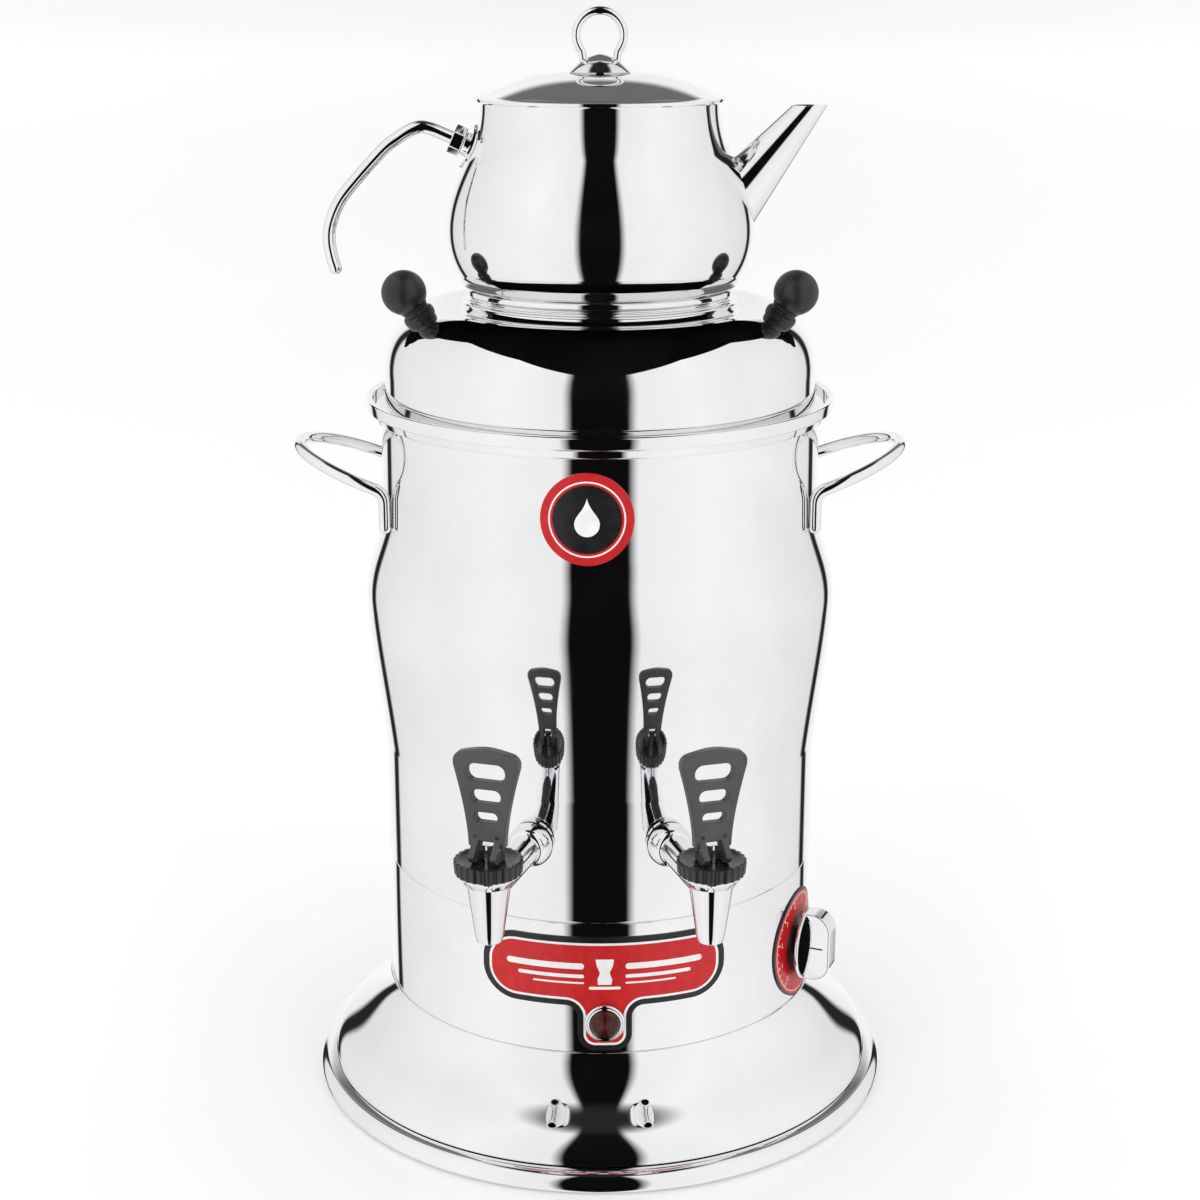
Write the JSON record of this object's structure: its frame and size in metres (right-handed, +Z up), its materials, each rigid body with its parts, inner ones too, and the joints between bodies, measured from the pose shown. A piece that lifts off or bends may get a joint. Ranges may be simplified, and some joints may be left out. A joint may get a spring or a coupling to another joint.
{
  "type": "samovar",
  "caption": "Electric tea urn: a domed steel tank on a flared base with lever taps, side handles, a thermostat dial and a lift-off lid that carries a lidded teapot.",
  "frame": {"origin": "middle of the circle of rubber feet, on the surface the urn stands on", "axes": "+Z up along the urn's axis, front with the taps towards -Y, the dial's side towards +X"},
  "size_m": [0.3356, 0.3597, 0.5991],
  "materials": {
    "polished_steel": "mirror polished stainless sheet",
    "chromed": "bright chrome",
    "plain_steel": "plain",
    "brass": "turned",
    "black_plastic": "satin black",
    "white_plastic": "moulded",
    "rubber": "soft",
    "red_rubber": "silicone",
    "printed_plate": "printed red plate",
    "lens": "clear tinted",
    "copper": "drawn copper"
  },
  "bodies": {
    "root": {"base_rim": "polished_steel", "base_skirt": "polished_steel", "base_drum": "polished_steel", "base_plate": "plain_steel", "rubber_feet": "rubber", "base_screws": "plain_steel", "tank_shell": "polished_steel", "tank_floor": "polished_steel", "tank_rim": "polished_steel", "left_handle": "polished_steel", "right_handle": "polished_steel", "heating_element": "plain_steel", "element_seals": "red_rubber", "element_nuts": "brass", "dry_boil_cutout": "white_plastic", "thermostat_body": "plain_steel", "thermostat_nut": "brass", "thermostat_bulb": "copper", "bulb_clip": "plain_steel", "terminal_block": "white_plastic", "cable_gland": "black_plastic", "gland_nut": "black_plastic", "pilot_lamp": "chromed", "pilot_lens": "lens", "dial_plate": "printed_plate", "nameplate": "printed_plate", "badge": "printed_plate", "left_tap_body": "chromed", "right_tap_body": "chromed", "tap_seals": "rubber", "tap_locknuts": "brass", "tap_bonnets": "black_plastic"},
    "lid": {"lid_shell": "polished_steel", "knob_barrels": "black_plastic", "knob_balls": "black_plastic", "knob_screws": "plain_steel"},
    "teapot": {"pot_body": "polished_steel", "pot_base": "polished_steel", "pot_spout": "polished_steel", "pot_handle": "polished_steel", "handle_bracket": "polished_steel", "handle_nut": "chromed"},
    "teapot_lid": {"pot_lid": "polished_steel", "lid_cap": "polished_steel", "lid_ring": "polished_steel", "lid_screw": "plain_steel"},
    "thermostat": {"thermostat_knob": "chromed", "thermostat_shaft": "plain_steel"},
    "left_valve": {"left_stem": "plain_steel", "left_seat": "rubber", "left_pin": "plain_steel", "left_spring": "plain_steel"},
    "left_tap_lever": {"left_lever": "black_plastic"},
    "right_valve": {"right_stem": "plain_steel", "right_seat": "rubber", "right_pin": "plain_steel", "right_spring": "plain_steel"},
    "right_tap_lever": {"right_lever": "black_plastic"}
  },
  "joints": [
    {"name": "lid_lift", "type": "slide", "parent": "root", "child": "lid", "axis": [0, 0, 1], "range_m": [0, 0.12]},
    {"name": "teapot_lift", "type": "slide", "parent": "lid", "child": "teapot", "axis": [0, 0, 1], "range_m": [0, 0.12]},
    {"name": "teapot_lid_lift", "type": "slide", "parent": "teapot", "child": "teapot_lid", "axis": [0, 0, 1], "range_m": [0, 0.08]},
    {"name": "thermostat_turn", "type": "hinge", "parent": "root", "child": "thermostat", "pos_m": [0.11949, -0.05121, 0.0915], "axis": [-0.9191, 0.3939, 0], "range_deg": [0, 270]},
    {"name": "left_stem_lift", "type": "slide", "parent": "root", "child": "left_valve", "axis": [0, 0, 1], "range_m": [0, 0.0041], "deforming": ["left_spring"]},
    {"name": "left_lever_tilt", "type": "hinge", "parent": "left_valve", "child": "left_tap_lever", "pos_m": [-0.055, -0.17768, 0.2001], "axis": [0.9553, -0.2957, 0], "range_deg": [0, 60], "stiffness_Nm_per_rad": 0.02, "springref_deg": -20.05},
    {"name": "right_stem_lift", "type": "slide", "parent": "root", "child": "right_valve", "axis": [0, 0, 1], "range_m": [0, 0.0041], "deforming": ["right_spring"]},
    {"name": "right_lever_tilt", "type": "hinge", "parent": "right_valve", "child": "right_tap_lever", "pos_m": [0.055, -0.17768, 0.2001], "axis": [0.9553, 0.2957, 0], "range_deg": [0, 60], "stiffness_Nm_per_rad": 0.02, "springref_deg": -20.05}
  ],
  "couplings": [
    {"joint": "left_stem_lift", "follows": "left_lever_tilt", "m_per_rad": 0.0038197},
    {"joint": "right_stem_lift", "follows": "right_lever_tilt", "m_per_rad": 0.0038197}
  ]
}
